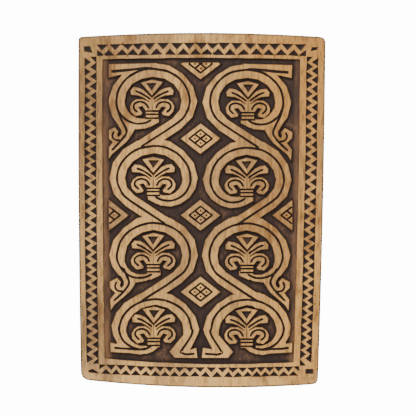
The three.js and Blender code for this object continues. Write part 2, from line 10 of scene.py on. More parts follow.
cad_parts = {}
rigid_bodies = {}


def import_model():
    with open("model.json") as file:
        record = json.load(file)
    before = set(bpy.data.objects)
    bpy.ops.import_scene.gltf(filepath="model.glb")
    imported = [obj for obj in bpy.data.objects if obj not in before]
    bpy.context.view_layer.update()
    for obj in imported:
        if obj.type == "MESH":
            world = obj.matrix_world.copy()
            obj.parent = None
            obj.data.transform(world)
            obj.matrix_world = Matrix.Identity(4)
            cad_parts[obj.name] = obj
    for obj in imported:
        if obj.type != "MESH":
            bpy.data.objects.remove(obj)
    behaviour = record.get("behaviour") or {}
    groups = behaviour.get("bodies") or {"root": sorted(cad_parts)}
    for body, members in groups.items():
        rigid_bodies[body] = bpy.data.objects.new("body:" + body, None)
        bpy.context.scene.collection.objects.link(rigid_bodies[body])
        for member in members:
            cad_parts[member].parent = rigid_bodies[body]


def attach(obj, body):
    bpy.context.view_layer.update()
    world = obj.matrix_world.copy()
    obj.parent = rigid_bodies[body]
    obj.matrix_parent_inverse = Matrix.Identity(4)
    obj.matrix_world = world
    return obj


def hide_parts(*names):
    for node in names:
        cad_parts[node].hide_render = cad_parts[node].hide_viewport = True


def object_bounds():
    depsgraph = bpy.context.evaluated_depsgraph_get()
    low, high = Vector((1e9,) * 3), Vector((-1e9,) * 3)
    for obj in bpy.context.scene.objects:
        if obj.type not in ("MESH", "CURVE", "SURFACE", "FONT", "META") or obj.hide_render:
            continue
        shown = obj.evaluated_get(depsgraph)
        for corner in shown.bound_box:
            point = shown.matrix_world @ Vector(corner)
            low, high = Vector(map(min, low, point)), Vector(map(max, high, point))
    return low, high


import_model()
cad_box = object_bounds()
shown = bpy.context.scene.collection

# The wandering edges come out the same each run
noise.seed_set(1)

# The camera stands straight in front; the picture is 468.4 mm across at the face
FACE_Y = -0.020
VIEW_WIDTH = 0.4684
LENS = 135.0
SENSOR = 36.0
camera_data = bpy.data.cameras.new("camera")
camera_data.lens = LENS
camera_data.sensor_width = SENSOR
camera = bpy.data.objects.new("camera", camera_data)
camera.location = (0.00833, FACE_Y - VIEW_WIDTH * LENS / SENSOR, 0.00248)
camera.rotation_euler = (math.pi / 2, 0, 0)
shown.objects.link(camera)
bpy.context.scene.camera = camera

# The drawing is in millimetres: X across, Z up and Y back to the wall, with the board's back at 0
MM = 0.001
BOARD_HEIGHT = 400
THICKNESS = 20
TOP_WIDTH = 278.6
BOTTOM_WIDTH = 266.6
TOP_CENTRE = 1.6
BOTTOM_CENTRE = -1.3
TOP_BOW = 4.8
BOTTOM_BOW = 6.4
BOTTOM_CREST = 25
SIDE_BOW = 1.5
# How much of the board's bow its ends, the border and the sunk field have
BOARD_BOW = {"top": 1, "bottom": 1}
BORDER_BOW = {"top": 0.5, "bottom": 0.5}
FIELD_BOW = {"top": 0.5, "bottom": 1}
CORNER_RADIUS = {"top_left": 4, "top_right": 7, "bottom_right": 7, "bottom_left": 10}
ARRIS = 1.2
# The face darkens towards its edge, fading out this far in
RIM_FADE = 2.6
# The board's faces are cut into cells of this size, this far from the middle
CELL = 5
CELLS_ACROSS = 150
CELLS_UP = 205
# Keeps the cells' edges clear of the drawing's lines
CELL_SHIFT = 0.37

# Depths below the face
GROUND_DEPTH = 3.5
PIT_DEPTH = 2.6
NOTCH_DEPTH = 2.2
GROOVE_DEPTH = 1.5
# How far the cutting shapes reach above the face
SKIM = 0.25

# Widths of the cut lines at the face
GROOVE_WIDTH = 2.8
WIDE_GROOVE_WIDTH = 3.4
FINE_GROOVE_WIDTH = 2.5
LINE_WIDTH = 2.2
# A groove runs out to a point within this length
POINT_LENGTH = 3
# How much a groove's width varies, and what is left of it at its very end
GROOVE_SWELL = 0.25
GROOVE_END = 0.06
# A straight line is cut in this many steps
LINE_STEPS = 24

# How far a hand-cut outline strays, and how quickly on the chips
HAND_WANDER = 0.5
FIELD_WANDER = 0.35
NOTCH_WANDER = 0.9
NOTCH_WANDER_SCALE = 0.37

# Each side's plain margin, two rows of chips and plain strip
BORDER = {
    "left": {"margin": 7.1, "row": 13.6, "strip": 6.8, "notches": 34},
    "right": {"margin": 8.0, "row": 13.3, "strip": 7.3, "notches": 34},
    "top": {"margin": 11.6, "row": 13.3, "strip": 3.7, "notches": 17},
    "bottom": {"margin": 12.2, "row": 10.9, "strip": 3.6, "notches": 20},
}
# How far the chips drift along their row, in parts of their pitch at even stations
NOTCH_DRIFT = {
    "left": (0, 0.29, 0.36, -0.12, 0.1, 0.22, 0.04, -0.05, 0),
    "right": (0, 0, 0.13, 0.22, 0.58, 0.6, 0.45, 0.12, -0.25),
    "top": (-0.2, 0, -0.3, 0, 0, -0.2, 0, 0, 0.1),
    "bottom": (0.1, 0.1, 0.1, 0, 0.05, 0.4, 0.35, 0.03, 0),
}
# A chip's length and half width, as shares of its row's width and pitch
NOTCH_REACH = 0.56
NOTCH_SPREAD = 0.52
# How far the rows stop short of the corners, and how their half chips sit there
ROW_END_CLEARANCE = 1.4
END_NOTCH = {"clearance": 0.4, "share": 0.72}
# The chip in each corner, from the outer corner of the zigzag
CORNER_NOTCHES = {
    "top_left": ((-0.6, -7.8), (9.4, -9.5), (6.6, -1.3), (-1.2, -1.7)),
    "top_right": ((-9.2, -7.4), (-2, -5.7), (0.3, -2.5), (-7.4, -2.5)),
    "bottom_right": ((-6.7, 1.7), (2.5, 1.7), (2.5, 7.3), (-6.7, 7.3)),
    "bottom_left": ((0.6, 2.9), (2.2, 0.7), (15, -0.4), (6.2, 5.2)),
}

# The sunk field, and the open channel between its edge and the artwork
FIELD_INSET = {side: sizes["margin"] + sizes["row"] + sizes["strip"] for side, sizes in BORDER.items()}
FIELD_CORNER_RADIUS = 0.8
TOP_CHANNEL = 5
BOTTOM_CHANNEL = 6.7
SIDE_CHANNEL = 4.8
ART_TOP = BOARD_HEIGHT / 2 - FIELD_INSET["top"] - TOP_CHANNEL
ART_BOTTOM = FIELD_INSET["bottom"] + BOTTOM_CHANNEL - BOARD_HEIGHT / 2
SIDE_INSET = (FIELD_INSET["left"] + FIELD_INSET["right"]) / 2
ART_HALF_WIDTH = (TOP_WIDTH + BOTTOM_WIDTH) / 4 - SIDE_INSET - SIDE_CHANNEL

# The two columns of coils, with each coil's and each tie's shift, from the top row down
COIL_ROWS = 4
FIRST_COIL_DROP = 44.3
LAST_COIL_RISE = 29.7
COIL_PITCH = (ART_TOP - ART_BOTTOM - FIRST_COIL_DROP - LAST_COIL_RISE) / (COIL_ROWS - 1)
COLUMN_SPREAD = 0.6
COLUMN_OFFSET = ART_HALF_WIDTH / 2 + COLUMN_SPREAD
COIL_DRIFT = {
    "left": ((-1.3, 0.6), (-0.4, 0), (-0.6, -0.4), (1.4, 0)),
    "right": ((-0.4, -0.5), (0.3, -1.8), (-1.2, -0.8), (0.2, -0.2)),
}
TIE_DRIFT = {
    "left": ((-2.4, 0.5), (-1, -0.2), (-1, 0.2), (-0.5, -0.1)),
    "right": ((1, -1.3), (-0.2, -1.4), (0, -0.7), (-0.4, -1.1)),
}

# The middle groove of a coil, about the coil's centre, with its angles in degrees
COIL_HALF_WIDTH = 41.3
COIL_CROWN = 36.6
COIL_FOOT = 32.7
HOOK_RADIUS = 25.3
HOOK_END = 307
LAST_HOOK_END = 285
STEM_BREAK = -50
JOIN_ANGLE = 69
LAST_HOOK_RISE = 5.6
STEM_RUN_IN = 10
HOOK_STEPS = 6

# Width of the wood outside and inside that groove, for each row where there are four
CROWN = ((6.8, 9.2), (9.8, 8.2), (9.8, 8), (9.8, 6.3))
STEM_SHOULDER = ((6.8, 9), (8.8, 9), (8.8, 9), (8.8, 7.4))
RING_SHOULDER = (7.2, 9)
SIDE_BAND = (8.8, 9.3)
LAST_SIDE_BAND = (8.8, 8.2)
STEM_BAND = (8.1, 7.6)
HOOK_SIDE = ((7.2, 8.8), (7.2, 8.8), (7.2, 6), (7.2, 7))
HOOK_TIP = ((6, 4.2), (6, 4.2), (3.6, 2.4), (6, 3.2))

# The palmette's tie, and how far it sits below the coil's centre
TIE_DROP = 14.6
LAST_TIE_DROP = 10.9
TIE_HALF_WIDTH = 7.2
TIE_TOP = 3.6
TIE_BOTTOM = -4.4
# The tie goes on above and below its lines, and they overrun its sides
TIE_HEAD = 0.8
TIE_ROOT = 2
TIE_LINE_OVERRUN = 1

LOZENGE_HALF_WIDTH = 22.6
LOZENGE_HALF_HEIGHT = 17.6
LOZENGE_LIFT = 1.7
TOP_LOZENGE_DROP = 1.7
LOZENGE_LINE_SHARE = 0.57
LOZENGE_LINE_OVERRUN = 0.06
LOZENGE_DOT_RADIUS = 1.2
# The gap between the two inner feet at the bottom
FOOT_GAP_CENTRE = -1.2
FOOT_GAP = 4.2

# The keyhole in the back: entry for a screw's head, slot for its shank, and the space behind
KEYHOLE_HEIGHT = 150
KEYHOLE_TRAVEL = 12
KEYHOLE_ENTRY = 5.2
KEYHOLE_SLOT = 2.4
KEYHOLE_UNDERCUT = 4.8
# Its depths below the face: its floor, the underside of its lips and just past the back
KEYHOLE_FLOOR = 9
KEYHOLE_LIPS = 16
PAST_BACK = 21

# How a wall runs down: depth below the face, and how far out from the outline
RELIEF_LEVELS = ((-4, -0.5), (0, -0.5), (0.5, 0), (2, 0.5), (GROUND_DEPTH + 1, 1.3))
FIELD_LEVELS = ((-1, 0.35), (0, 0.35), (0.35, 0), (GROUND_DEPTH + 2, -0.7))

# How high the tool's strokes stand on the sunk floor
LONG_STROKE = 0.28
SHORT_STROKE = 0.12
# The floor slopes up to the strip on each side, over this width and to this height
CHANNEL_WIDTH = {"left": 7.5, "right": 6}
CHANNEL_RISE = 1.7
# How far the stain is worn off there, low and high on the board, and the heights between
CHANNEL_WEAR = {"left": (1.1, 0.6), "right": (0.8, 0.6)}
WEAR_LOW = -40
WEAR_HIGH = 120
WEAR_FALL = 0.6
# The stain thins out, and the painted shade at the foot of the walls fades, between these distances from
# the walls' arrises, at these depths
OPEN_FROM = 1.2
OPEN_TO = 5
ARRIS_DEPTHS = (0.3, 0.6)
# The size of the tooled floor's faces
FLOOR_STEP = 1.8

# Material slots on the board, in this order
SLOTS = range(6)
WOOD, GROUND, GROOVE, ARRIS_WOOD, SIDE_WOOD, BACK = SLOTS


def mix(start, end, share):
    return start + (end - start) * share


def between(start, end, share):
    return mix(start[0], end[0], share), mix(start[1], end[1], share)


def shifted(points, dx, dz):
    return [(x + dx, z + dz) for x, z in points]


def mirrored(points, side):
    return [(side * x, z) for x, z in points]


def wandered(x, z, reach, scale=0.09):
    """The small unevenness of a line cut by hand, in place."""
    drift = noise.noise_vector(Vector((x * scale, z * scale, 4.7)))
    return x + reach * drift.x, z + reach * drift.z


def arc(centre_x, centre_z, radius_x, radius_z, start, end, steps):
    """Points along an arc between two angles, ends included."""
    points = []
    for i in range(steps + 1):
        angle = math.radians(mix(start, end, i / steps))
        points.append((centre_x + radius_x * math.cos(angle), centre_z + radius_z * math.sin(angle)))
    return points


def stationed(points, start_band, end_band):
    """Points with the width of the wood on their outer and inner side."""
    stations = []
    for i, (x, z) in enumerate(points):
        stations.append((x, z, *between(start_band, end_band, i / (len(points) - 1))))
    return stations


def band_outline(stations, outer_side):
    """The outline of a band of wood around its stations."""
    outer_edge = []
    inner_edge = []
    for i, (x, z, outer, inner) in enumerate(stations):
        before = stations[max(i - 1, 0)]
        after = stations[min(i + 1, len(stations) - 1)]
        length = math.hypot(after[0] - before[0], after[1] - before[1])
        normal_x = outer_side * -(after[1] - before[1]) / length
        normal_z = outer_side * (after[0] - before[0]) / length
        outer_edge.append((x + normal_x * outer, z + normal_z * outer))
        inner_edge.append((x - normal_x * inner, z - normal_z * inner))
    return outer_edge + inner_edge[::-1]


def signed_area(points):
    """The area of an outline, below zero where it runs clockwise."""
    total = 0
    for i, (x, z) in enumerate(points):
        next_x, next_z = points[(i + 1) % len(points)]
        total += (x * next_z - next_x * z) / 2
    return total


def counterclockwise(points):
    return points if signed_area(points) > 0 else points[::-1]


def grown(points, distance):
    """The outline moved outwards by a distance, with its corners held short."""
    moved = []
    count = len(points)
    for i, (x, z) in enumerate(points):
        back = Vector((x - points[i - 1][0], z - points[i - 1][1])).normalized()
        ahead = Vector((points[(i + 1) % count][0] - x, points[(i + 1) % count][1] - z)).normalized()
        normal = Vector((back.y + ahead.y, -back.x - ahead.x))
        if normal.length < 0.2:
            normal = Vector((ahead.y, -ahead.x))
        normal.normalize()
        stretch = min(1 / max(normal.dot(Vector((ahead.y, -ahead.x))), 0.45), 2.0)
        moved.append((x + normal.x * distance * stretch, z + normal.y * distance * stretch))
    return moved


def loft(bm, rings, slot):
    """A closed solid through rings of the same number of points."""
    face = bm.faces.new([bm.verts.new(Vector(point) * MM) for point in rings[0]])
    face.material_index = slot
    for i, ring in enumerate(rings[1:]):
        region = bmesh.ops.extrude_face_region(bm, geom=[face])
        if i > 0:
            bmesh.ops.delete(bm, geom=[face], context="FACES_ONLY")
        face = next(item for item in region["geom"] if isinstance(item, bmesh.types.BMFace))
        for vert, point in zip(face.verts, ring):
            vert.co = Vector(point) * MM


def finished(bm, name, collection, slot=None):
    """Makes the mesh an object of the collection."""
    bmesh.ops.recalc_face_normals(bm, faces=bm.faces)
    mesh = bpy.data.meshes.new(name)
    bm.to_mesh(mesh)
    bm.free()
    for _ in SLOTS:
        mesh.materials.append(None)
    if slot is not None:
        for polygon in mesh.polygons:
            polygon.material_index = slot
    piece = bpy.data.objects.new(name, mesh)
    collection.objects.link(piece)
    return piece


def level_rings(outline, levels):
    """The outline at each depth, grown by its own amount."""
    rings = []
    for depth, growth in levels:
        ring = grown(outline, growth) if growth else outline
        rings.append([(x, -THICKNESS + depth, z) for x, z in ring])
    return rings


def slab(points, levels, name, collection, slot):
    """A form with nearly upright walls."""
    bm = bmesh.new()
    loft(bm, level_rings(counterclockwise(points), levels), slot)
    return finished(bm, name, collection, slot)


def edge_x(side, z, inset):
    """Where a side of the board stands at a height, moved in by the inset."""
    up = (z + BOARD_HEIGHT / 2) / BOARD_HEIGHT
    bow = SIDE_BOW * (1 - (2 * z / BOARD_HEIGHT) ** 2)
    if side == "left":
        return mix(BOTTOM_CENTRE - BOTTOM_WIDTH / 2, TOP_CENTRE - TOP_WIDTH / 2, up) - bow + inset
    return mix(BOTTOM_CENTRE + BOTTOM_WIDTH / 2, TOP_CENTRE + TOP_WIDTH / 2, up) + bow - inset


def edge_z(side, x, inset, share):
    """The same for the top and the bottom, with a share of the board's bow."""
    if side == "top":
        return BOARD_HEIGHT / 2 - inset - share * TOP_BOW * (2 * x / TOP_WIDTH) ** 2
    return -BOARD_HEIGHT / 2 + inset + share * BOTTOM_BOW * (2 * (x - BOTTOM_CREST) / BOTTOM_WIDTH) ** 2


def frame_corners(insets, bow):
    """Where the sides meet, found by going back and forth between them."""
    corners = {}
    for end in ("top", "bottom"):
        for side in ("left", "right"):
            x = 0
            z = 0
            for _ in range(4):
                z = edge_z(end, x, insets[end], bow[end])
                x = edge_x(side, z, insets[side])
            corners[f"{end}_{side}"] = (x, z)
    return corners


def turn(start, control, end, steps=6):
    """The points of a rounded corner, without its ends."""
    points = []
    for i in range(1, steps):
        t = i / steps
        points.append(tuple(
            (1 - t) ** 2 * a + 2 * t * (1 - t) * b + t ** 2 * c for a, b, c in zip(start, control, end)
        ))
    return points


def frame_outline(insets, bow, radii, steps):
    """The outline of the board or of the sunk field, with rounded corners."""
    corners = frame_corners(insets, bow)

    def across(end, start_x, end_x):
        places = [mix(start_x, end_x, i / steps) for i in range(steps + 1)]
        return [(x, edge_z(end, x, insets[end], bow[end])) for x in places]

    def along(side, start_z, end_z):
        places = [mix(start_z, end_z, i / steps) for i in range(steps + 1)]
        return [(edge_x(side, z, insets[side]), z) for z in places]

    def beside(corner, axis, way):
        return corners[corner][axis] + way * radii[corner]

    top = across("top", beside("top_left", 0, 1), beside("top_right", 0, -1))
    right = along("right", beside("top_right", 1, -1), beside("bottom_right", 1, 1))
    bottom = across("bottom", beside("bottom_right", 0, -1), beside("bottom_left", 0, 1))
    left = along("left", beside("bottom_left", 1, 1), beside("top_left", 1, -1))
    return (top + turn(top[-1], corners["top_right"], right[0])
            + right + turn(right[-1], corners["bottom_right"], bottom[0])
            + bottom + turn(bottom[-1], corners["bottom_left"], left[0])
            + left + turn(left[-1], corners["top_left"], top[0]))


def divided(bm, direction, reach):
    """Cuts the mesh's faces small, at even distances."""
    for place in range(-reach, reach + 1, CELL):
        everything = list(bm.verts) + list(bm.edges) + list(bm.faces)
        middle = Vector(direction) * (place + CELL_SHIFT) * MM
        bmesh.ops.bisect_plane(bm, geom=everything, plane_co=middle, plane_no=direction)


def board_blank(collection):
    """The plain board, with its front and back arris worn round."""
    outline = frame_outline(dict.fromkeys(BORDER, 0), BOARD_BOW, CORNER_RADIUS, 24)
    low, high = [[size / MM for size in corner] for corner in cad_box]
    outline = counterclockwise([
        (min(max(x, low[0]), high[0]), min(max(z, low[2]), high[2])) for x, z in outline
    ])
    rounding = []
    for i in range(5):
        angle = math.radians(90 * i / 4)
        rounding.append((ARRIS * (1 - math.sin(angle)), -ARRIS * (1 - math.cos(angle))))
    behind = [(THICKNESS - depth, growth) for depth, growth in reversed(rounding)]
    levels = sorted([(0, -RIM_FADE)] + rounding + behind)
    bm = bmesh.new()
    loft(bm, level_rings(outline, levels), WOOD)
    divided(bm, (1, 0, 0), CELLS_ACROSS)
    divided(bm, (0, 0, 1), CELLS_UP)
    return finished(bm, "carved_panel", collection)


def channel_nearness(side, x, z):
    """Falls from 1 at the strip beside the field to 0 across the open channel."""
    gap = abs(x - edge_x(side, z, FIELD_INSET[side]))
    return max(1 - gap / CHANNEL_WIDTH[side], 0)


def ground_height(x, z):
    """How far the tooled floor stands above its full depth."""
    long_stroke = noise.fractal(Vector((x * 0.16, z * 0.045, 1.3)), 1.0, 2.0, 3)
    short_stroke = noise.noise(Vector((x * 0.45, z * 0.2, 7.9)))
    nearness = max(channel_nearness(side, x, z) for side in ("left", "right"))
    return LONG_STROKE * long_stroke + SHORT_STROKE * short_stroke + CHANNEL_RISE * nearness


def ground_cutter(collection):
    """The sunk field, with an uneven floor of tool strokes."""
    radii = dict.fromkeys(CORNER_RADIUS, FIELD_CORNER_RADIUS)
    outline = frame_outline(FIELD_INSET, FIELD_BOW, radii, 40)
    outline = [wandered(x, z, FIELD_WANDER) for x, z in outline]
    field = slab(outline, FIELD_LEVELS, "field", collection, GROUND)
    step = FLOOR_STEP
    overlap = 10
    width = TOP_WIDTH - 2 * FIELD_INSET["left"] + overlap
    height = BOARD_HEIGHT - 2 * FIELD_INSET["bottom"] + overlap
    bm = bmesh.new()
    bmesh.ops.create_grid(bm, x_segments=int(width / step), y_segments=int(height / step), size=0.5)
    for vert in bm.verts:
        x = vert.co.x * width
        z = vert.co.y * height
        depth = GROUND_DEPTH - ground_height(x, z)
        vert.co = Vector((x, -THICKNESS + depth, z)) * MM
    above = bmesh.ops.extrude_face_region(bm, geom=list(bm.faces))
    for item in above["geom"]:
        if isinstance(item, bmesh.types.BMVert):
            item.co.y = (-THICKNESS - 3) * MM
    block = finished(bm, "tooled_floor", collection, GROUND)
    cut(field, block, operation="INTERSECT")
    return field


def cut(target, *operands, operation="DIFFERENCE"):
    """Cuts an object with others, or joins them to it, one after another."""
    for operand in operands:
        modifier = target.modifiers.new("cut", "BOOLEAN")
        modifier.operation = operation
        modifier.solver = "MANIFOLD"
        modifier.material_mode = "INDEX"
        modifier.object = operand
    graph = bpy.context.evaluated_depsgraph_get()
    shaped = bpy.data.meshes.new_from_object(target.evaluated_get(graph), depsgraph=graph)
    target.modifiers.clear()
    target.data = shaped


def joined(collection):
    """All the forms of a collection as one solid."""
    first, *others = collection.objects
    cut(first, *others, operation="UNION")
    return first


# The free forms beside each coil, in the coil's own place
TOP_BAR = [(-51.6, 41.9), (5, 43.4), (0, 34.9), (-38.2, 29.4), (-50.7, 26.6)]
TOP_BAR_GROOVE = [(-46.7, 33.3), (-44, 33.6), (-9.5, 36.9), (0, 36.6)]
SPUR = [
    (-50, -1), (-45.9, -17.7), (-41, -24.1), (-36.3, -32), (-35.6, -34), (-35.9, -37.6), (-38.8, -40.4),
    (-40.1, -37.8), (-38.8, -34), (-43.1, -28.9), (-51.7, -33.7), (-51.3, -40.8), (-45.6, -46.2),
    (-51, -53.7), (-50.3, -66.3), (-45.9, -59.8), (-29.5, -45.8), (-24.4, -39), (-20.2, -31.1), (-9, -29.5),
]
# Where the spur leaves its ring; this part isn't shifted
SPUR_ROOT = [(-15.8, -22.5), (-29.5, -19.8), (-38.6, -10), (-41.3, -1)]
SPUR_GROOVE = [
    (-40.6, -6), (-37.4, -16.9), (-32.3, -26.8), (-29.8, -32.5), (-30.5, -37.6), (-36.7, -45.5),
    (-47.4, -56.2),
]
CURL_GROOVE = [(-43.5, -33.2), (-45.6, -38.3), (-44.3, -42.2), (-41, -44), (-36.4, -44)]
# The rows that have a spur, with its shift and the first point of its groove
SPURS = {0: (0, 0, 0), 2: (2, 4.2, 1)}
HOOK_TAIL = [(-5.6, -18.8), (-5.6, -29.3), (-3.4, -29), (6.8, -24), (6.8, -18.8)]
HOOK_TAIL_SHIFT = ((0, 0), (0, 0), (0.9, 1.7))
OUTER_FOOT = [
    (42, -8), (44, -13.3), (51.2, -11.8), (50.6, -23.3), (9.9, -25.4), (2.8, -22.6), (-5.2, -16.1),
    (3.5, -14), (9, -18.4), (24, -18.2), (35.6, -10.4),
]
OUTER_FOOT_GROOVE = [(47, -17.9), (43.5, -18.3), (26.5, -19.5), (12.2, -19.7), (3.5, -15.1)]


def inner_foot(reach):
    return [
        (-41.3, 5), (-49.1, 5), (-49.3, 1), (-48.3, -2.5), (-39.6, -19.7), (1.4 - reach, -17.6),
        (-reach, -29.7), (-21.6, -29.7), (-15.5, -22.6), (-31.6, -3.2), (-31.4, 5),
    ]


def inner_foot_groove(reach):
    return [(-41.3, 3.9), (-41, -3.2), (-29.5, -21.2), (-28.8, -23.2), (-34.6, -25.4), (2.1 - reach, -24.4)]


# The palmette, about the middle of its tie
FAN = [(-12.9, 35.8), (0, 39.3), (12.6, 36.5), (0, 20.6)]
FAN_PIT = [(-6.8, 35.4), (5.8, 35.6), (-0.2, 26.1)]
LEAF = [
    (0, 18.4), (8.8, 27.2), (14.4, 30), (20.9, 30.9), (24.5, 26.8), (23.9, 21.8), (15.2, 21.1), (9, 18.4),
    (2.7, 13.6), (0, 12),
]
LEAF_GROOVE = [(19.6, 26.6), (12.6, 23.8), (5.4, 19.4), (1.2, 16.2)]
VOLUTE = [
    (0, 16), (2.9, 13.6), (9.7, 17.3), (18, 17.1), (22.8, 13.6), (25.2, 8.6), (24.3, 3), (19, -2.2),
    (12.2, -1), (10.6, 1.4), (15.4, 7.8), (11, 8.8), (TIE_HALF_WIDTH, TIE_TOP), (0, TIE_TOP - 1),
]
VOLUTE_GROOVE = [(3.8, 5.9), (7, 11.7), (13.2, 14.1), (19.6, 12), (20.6, 6.6), (15.3, 1.6)]


def coil_paths(row):
    """The middle lines of one coil's stem and ring, with their widths."""
    last = row == COIL_ROWS - 1
    crown = CROWN[row]
    stem_shoulder = STEM_SHOULDER[row]
    stem_side = LAST_SIDE_BAND if last else SIDE_BAND
    hook_centre = COIL_HALF_WIDTH - HOOK_RADIUS

    def upper(start, end, steps):
        return arc(0, 0, COIL_HALF_WIDTH, COIL_CROWN, start, end, steps)

    def hooked(hook):
        return (stationed(hook[:3], stem_side, HOOK_SIDE[row])[1:]
                + stationed(hook[2:], HOOK_SIDE[row], HOOK_TIP[row])[1:])

    side_angle = math.degrees(math.asin(LAST_HOOK_RISE / COIL_CROWN)) if last else 0
    stem = (stationed(upper(90, 45, 2), crown, stem_shoulder)
            + stationed(upper(45, side_angle, 2), stem_shoulder, stem_side)[1:])
    ring = (stationed(upper(JOIN_ANGLE, 90, 1), crown, crown)
            + stationed(upper(90, 135, 2), crown, RING_SHOULDER)[1:]
            + stationed(upper(135, 180, 2), RING_SHOULDER, SIDE_BAND)[1:])
    if last:
        end = 180 - LAST_HOOK_END
        stem += hooked(arc(hook_centre, LAST_HOOK_RISE, HOOK_RADIUS, HOOK_RADIUS, 0, end, HOOK_STEPS))
        return stem, ring
    side = arc(0, 0, COIL_HALF_WIDTH, COIL_FOOT, 0, STEM_BREAK, 2)
    leave = Vector(side[-1])
    join_x, join_z = upper(JOIN_ANGLE, JOIN_ANGLE, 1)[0]
    join = Vector((-join_x, join_z - COIL_PITCH))
    run_in = join + (join - leave).normalized() * STEM_RUN_IN
    stem += stationed(side, SIDE_BAND, STEM_BAND)[1:]
    stem += stationed([leave, join], STEM_BAND, STEM_BAND)[1:]
    stem += [(run_in.x, run_in.y, STEM_BAND[0] / 2, STEM_BAND[1])]
    ring += hooked(arc(-hook_centre, 0, HOOK_RADIUS, HOOK_RADIUS, 180, HOOK_END, HOOK_STEPS))
    return stem, ring


class Carving:
    """Gathers the raised forms and the cut lines in their places on the panel."""

    def __init__(self, reliefs, lines):
        self.reliefs = reliefs
        self.lines = lines
        self.place = (1, 0, 0)

    def put(self, points):
        """Carries points to the place being carved, mirrored where its side is -1."""
        side, x, z = self.place
        return shifted(mirrored(points, side), x, z)

    def by_hand(self, points):
        return [wandered(x, z, HAND_WANDER) for x, z in self.put(points)]

    def raise_form(self, name, points):
        outline = clipped(self.by_hand(points))
        if len(outline) > 2:
            slab(outline, RELIEF_LEVELS, name, self.reliefs, GROUND)

    def sink_form(self, name, points, depth):
        slab(self.by_hand(points), ((-1, 0.15), (depth, -0.5)), name, self.lines, GROUND)

    def groove(self, name, points, width):
        line = inside_run(self.by_hand(smoothed(points)))
        if len(line) > 2:
            groove_cutter(line, width, name, self.lines)

    def straight(self, name, start, end, width):
        points = [between(start, end, i / LINE_STEPS) for i in range(LINE_STEPS + 1)]
        line = inside_run(self.put(points))
        if len(line) > 2:
            groove_cutter(line, width, name, self.lines)

    def dot(self, name, x, z, radius):
        corners = self.put(arc(x, z, radius, radius, 0, 300, 5))
        if len(inside_run(corners)) < len(corners):
            return
        bm = bmesh.new()
        chip(bm, corners, GROOVE_DEPTH, self.put([(x, z)])[0])
        finished(bm, name, self.lines, GROOVE)


def clipped(points):
    """The outline cut off at the edges of the artwork."""
    limits = ((0, 1, ART_HALF_WIDTH), (0, -1, ART_HALF_WIDTH), (1, 1, ART_TOP), (1, -1, -ART_BOTTOM))
    for axis, sign, limit in limits:
        kept = []
        for i, point in enumerate(points):
            last = points[i - 1]
            here = limit - sign * point[axis]
            there = limit - sign * last[axis]
            if (here >= 0) != (there >= 0):
                kept.append(between(last, point, there / (there - here)))
            if here >= 0:
                kept.append(point)
        points = kept
    return points


def smoothed(points):
    """A line bent evenly through its points, with two more between each pair."""
    bent = [points[0]]
    for i in range(len(points) - 1):
        run = [Vector(points[min(max(j, 0), len(points) - 1)]) for j in range(i - 1, i + 3)]
        for share in (1 / 3, 2 / 3, 1):
            bent.append(tuple(
                run[1] + (run[2] - run[0]) * (share / 2)
                + (2 * run[0] - 5 * run[1] + 4 * run[2] - run[3]) * (share ** 2 / 2)
                + (3 * run[1] - run[0] - 3 * run[2] + run[3]) * (share ** 3 / 2)
            ))
    return bent


def inside_run(points):
    return [
        (x, z) for x, z in points
        if abs(x) <= ART_HALF_WIDTH + 0.01 and ART_BOTTOM - 0.01 <= z <= ART_TOP + 0.01
    ]


def pointed(points):
    """The line with one more point close to its start, where the cut runs out."""
    start = Vector(points[0])
    away = Vector(points[1]) - start
    if away.length < POINT_LENGTH:
        return points
    return [points[0], tuple(start + away.normalized() * POINT_LENGTH), *points[1:]]


def groove_cutter(points, width, name, collection):
    """A V-shaped cut along a line, running out to a point at each end."""
    half = width / 2 * (GROOVE_DEPTH + SKIM) / GROOVE_DEPTH
    points = pointed(pointed(points)[::-1])
    rings = []
    count = len(points)
    for i, (x, z) in enumerate(points):
        before = Vector(points[max(i - 1, 0)])
        after = Vector(points[min(i + 1, count - 1)])
        along = (after - before).normalized()
        swell = 1 + GROOVE_SWELL * noise.noise(Vector((x * 0.2, z * 0.2, 9.1)))
        if i in (0, count - 1):
            swell = GROOVE_END
        side = Vector((-along.y, along.x)) * half * swell
        depth = GROOVE_DEPTH * swell - SKIM * (1 - swell)
        top = -THICKNESS - SKIM
        bottom = (x, -THICKNESS + depth, z)
        rings.append([(x + side.x, top, z + side.y), (x - side.x, top, z - side.y), bottom])
    bm = bmesh.new()
    loft(bm, rings, GROOVE)
    return finished(bm, name, collection, GROOVE)


def palmette(carving):
    carving.raise_form("fan", FAN)
    carving.sink_form("fan_pit", FAN_PIT, PIT_DEPTH)
    carving.raise_form("tie", [
        (-TIE_HALF_WIDTH, TIE_BOTTOM - TIE_ROOT), (TIE_HALF_WIDTH, TIE_BOTTOM - TIE_ROOT),
        (TIE_HALF_WIDTH, TIE_TOP + TIE_HEAD), (-TIE_HALF_WIDTH, TIE_TOP + TIE_HEAD),
    ])
    for side in (1, -1):
        carving.raise_form("leaf", mirrored(LEAF, side))
        carving.raise_form("volute", mirrored(VOLUTE, side))
        carving.groove("leaf_line", mirrored(LEAF_GROOVE, side), FINE_GROOVE_WIDTH)
        carving.groove("volute_line", mirrored(VOLUTE_GROOVE, side), FINE_GROOVE_WIDTH)
    reach = TIE_HALF_WIDTH + TIE_LINE_OVERRUN
    for height in (TIE_TOP, 0, TIE_BOTTOM):
        carving.straight("tie_line", (-reach, height), (reach, height), LINE_WIDTH)


